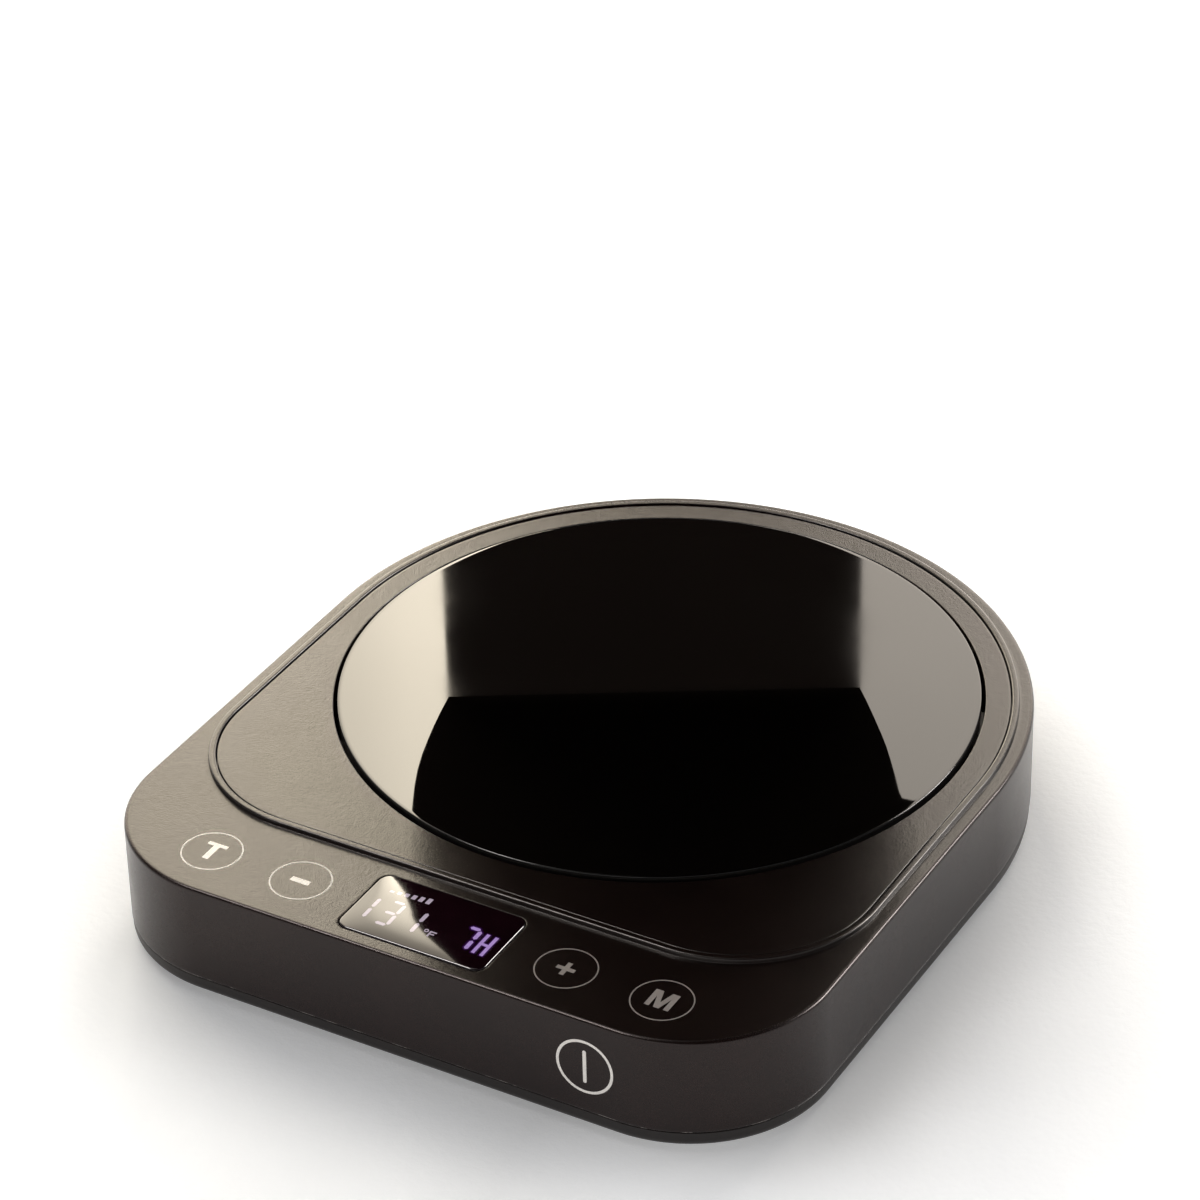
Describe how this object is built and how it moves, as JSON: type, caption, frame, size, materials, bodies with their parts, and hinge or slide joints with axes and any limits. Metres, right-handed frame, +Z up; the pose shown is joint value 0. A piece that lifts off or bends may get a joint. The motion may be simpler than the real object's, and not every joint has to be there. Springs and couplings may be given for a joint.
{
  "type": "mug warmer",
  "caption": "Electric mug warmer: low D-shaped casing, round floating glass hot plate on springs, raised deck rim, touch strip with display window, clip-on base and rubber feet.",
  "frame": {"origin": "centre of the footprint on the surface that the feet stand on", "axes": "+Y from the touch strip and front wall to the round back, +X to the user's right, +Z up through the hot plate"},
  "size_m": [0.12, 0.14, 0.0215],
  "materials": {
    "casing_plastic": "fine satin texture, very dark warm brown-black",
    "deck_plastic": "fine satin texture, very dark warm brown-black",
    "base_plastic": "fine matt texture",
    "foot_rubber": "matt",
    "screw_steel": "plain zinc finish",
    "smoked_window": "clear gloss over a dark filter",
    "foam_rubber": "closed-cell foam",
    "display_white": "moulded white light box with a film",
    "board_green": "solder resist on glass-fibre board",
    "board_tan": "phenolic board",
    "chip_black": "moulded epoxy",
    "spring_steel": "drawn wire",
    "wire_grey": "flat ribbed cable",
    "socket_nylon": "natural nylon",
    "aluminium_sheet": "rolled sheet",
    "capacitor_yellow": "moulded box",
    "capacitor_sleeve": "shrunk sleeve",
    "fuse_ceramic": "glazed body",
    "varistor_blue": "dipped epoxy",
    "terminal_green": "moulded nylon",
    "black_glass": "polished black glass with a ground edge",
    "mica_foil": "mica sheet with etched foil",
    "ceramic_fibre": "felted fibre pad",
    "carrier_plastic": "heat-proof moulded plastic",
    "sensor_epoxy": "epoxy bead",
    "cutout_case": "drawn case",
    "plunger_red": "moulded",
    "lead_white": "silicone sleeved lead",
    "lead_red": "silicone sleeved lead"
  },
  "bodies": {
    "base": {"top_shell": "casing_plastic", "deck_panel": "deck_plastic", "bottom_cover": "base_plastic", "rubber_feet": "foot_rubber", "case_screws": "screw_steel", "display_window": "smoked_window", "window_gasket": "foam_rubber", "led_display": "display_white", "control_board": "board_green", "control_board_screws": "screw_steel", "controller_chip": "chip_black", "buzzer": "chip_black", "touch_springs": "spring_steel", "power_key_board": "board_green", "power_touch_spring": "spring_steel", "ribbon_cable": "wire_grey", "ribbon_sockets": "socket_nylon", "main_board": "board_tan", "main_board_screws": "screw_steel", "power_triac": "chip_black", "triac_heatsink": "aluminium_sheet", "filter_capacitor": "capacitor_yellow", "smoothing_capacitor": "capacitor_sleeve", "mains_fuse": "fuse_ceramic", "surge_varistor": "varistor_blue", "mains_terminal_block": "terminal_green", "heater_socket": "socket_nylon", "sensor_socket": "socket_nylon", "switch_housing": "chip_black", "cord_bushing": "foot_rubber", "plate_springs": "spring_steel", "heater_leads": "lead_white", "sensor_leads": "lead_red"},
    "plate": {"glass_plate": "black_glass", "heat_spreader": "aluminium_sheet", "heating_element": "mica_foil", "insulation_pad": "ceramic_fibre", "plate_carrier": "carrier_plastic", "temperature_sensor": "sensor_epoxy", "thermal_cutout": "cutout_case", "carrier_screws": "screw_steel"},
    "plunger": {"switch_plunger": "plunger_red"}
  },
  "joints": [
    {"name": "plate_float", "type": "slide", "parent": "base", "child": "plate", "axis": [0, 0, 1], "range_m": [-0.0007, 0], "stiffness_N_per_m": 1800, "springref_m": 0.001, "deforming": ["plate_springs", "heater_leads", "sensor_leads"]},
    {"name": "switch_press", "type": "slide", "parent": "base", "child": "plunger", "axis": [0, 0, 1], "range_m": [-0.0007, 0]}
  ],
  "couplings": [
    {"joint": "switch_press", "follows": "plate_float", "ratio": 1}
  ]
}
